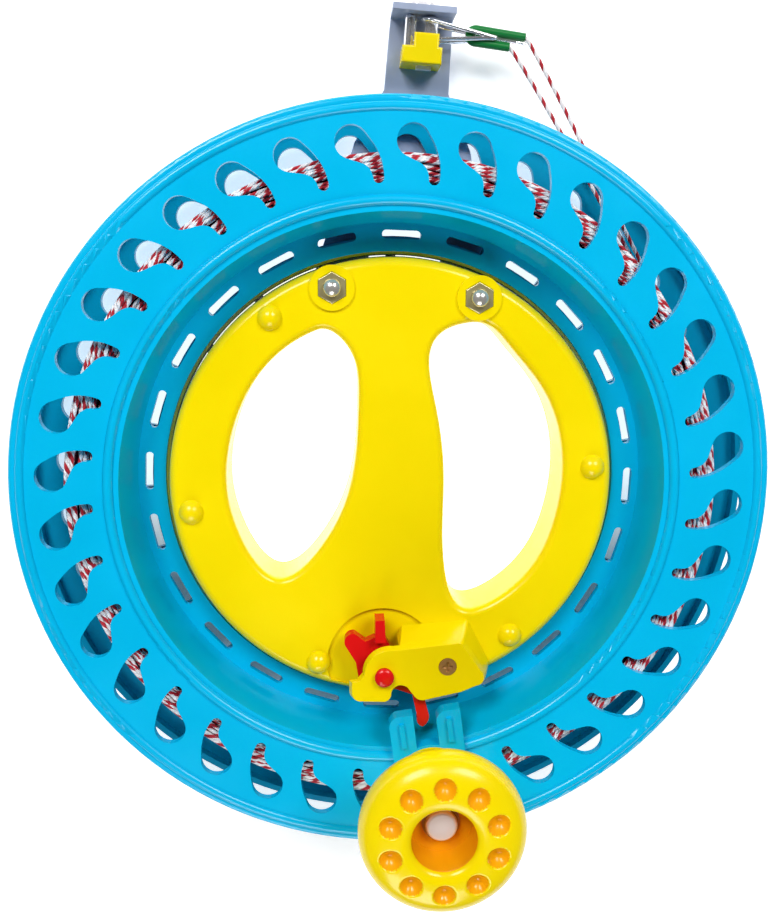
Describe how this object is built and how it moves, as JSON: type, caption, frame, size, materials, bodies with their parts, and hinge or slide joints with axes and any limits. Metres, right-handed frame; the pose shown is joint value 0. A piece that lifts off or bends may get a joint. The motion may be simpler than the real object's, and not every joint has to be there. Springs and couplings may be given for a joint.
{
  "type": "kite line winder",
  "caption": "Hand-held kite line winder: a grooved spool with pierced flanges turns on a ring bearing round a fixed two-hole grip, with a crank knob, a lock lever and a roller line guide.",
  "frame": {"origin": "on the wheel's axis, in the flat back face of the grip, on which the winder lies", "axes": "+Z along the wheel's axis towards the front and the crank knob, +Y towards the line guide, +X to the right as seen from the front"},
  "size_m": [0.22, 0.2512, 0.072],
  "materials": {
    "blue_plastic": "moulded, semi-gloss",
    "yellow_plastic": "moulded, semi-gloss",
    "red_plastic": "moulded, semi-gloss",
    "green_plastic": "smooth tube",
    "cage_plastic": "matt",
    "grey_steel": "smooth grey coating",
    "bearing_steel": "ground",
    "zinc_steel": "zinc plated",
    "bronze_screw": "dark yellow plating",
    "chrome": "polished",
    "line_fibre": "twisted, white with red strands"
  },
  "bodies": {
    "grip": {"grip_front": "yellow_plastic", "grip_back": "yellow_plastic", "grip_screws": "zinc_steel", "bearing_inner_race": "bearing_steel", "guide_bracket": "grey_steel", "guide_pins": "zinc_steel", "guide_block": "yellow_plastic", "guide_bolts": "zinc_steel", "guide_nuts": "zinc_steel", "lock_cover": "yellow_plastic", "lock_cover_screw": "bronze_screw", "line_lead_a": "line_fibre", "line_lead_b": "line_fibre", "clip_sleeve": "green_plastic", "snap_clip": "chrome"},
    "spool": {"spool_front": "blue_plastic", "spool_back": "blue_plastic", "spool_screws": "zinc_steel", "bearing_outer_race": "bearing_steel", "crank_bracket": "blue_plastic", "knob_bolt": "zinc_steel", "knob_washer": "bronze_screw", "knob_nut": "zinc_steel", "line_core": "line_fibre", "line_winding": "line_fibre"},
    "ball_set": {"bearing_cage": "cage_plastic", "bearing_balls": "bearing_steel"},
    "knob": {"knob": "yellow_plastic"},
    "lever": {"lock_lever": "red_plastic"},
    "roller_left": {"guide_roller_left": "chrome"},
    "roller_right": {"guide_roller_right": "chrome"}
  },
  "joints": [
    {"name": "spool_spin", "type": "hinge", "parent": "grip", "child": "spool", "pos_m": [0, 0, 0.02], "axis": [0, 0, 1], "continuous": true},
    {"name": "ball_set_spin", "type": "hinge", "parent": "grip", "child": "ball_set", "pos_m": [0, 0, 0.0103], "axis": [0, 0, 1], "continuous": true},
    {"name": "knob_spin", "type": "hinge", "parent": "spool", "child": "knob", "pos_m": [0.01159, -0.08925, 0.055], "axis": [0, 0, 1], "continuous": true},
    {"name": "lock_turn", "type": "hinge", "parent": "grip", "child": "lever", "pos_m": [-0.003, -0.0562, 0.027], "axis": [0, 0, 1], "range_deg": [0, 36]},
    {"name": "roller_left_spin", "type": "hinge", "parent": "grip", "child": "roller_left", "pos_m": [0.00571, 0.13042, 0.0106], "axis": [0.0698, 0.9976, 0], "continuous": true},
    {"name": "roller_right_spin", "type": "hinge", "parent": "grip", "child": "roller_right", "pos_m": [0.0116, 0.13001, 0.0106], "axis": [0.0698, 0.9976, 0], "continuous": true}
  ],
  "couplings": [
    {"joint": "ball_set_spin", "follows": "spool_spin", "ratio": 0.5126}
  ]
}
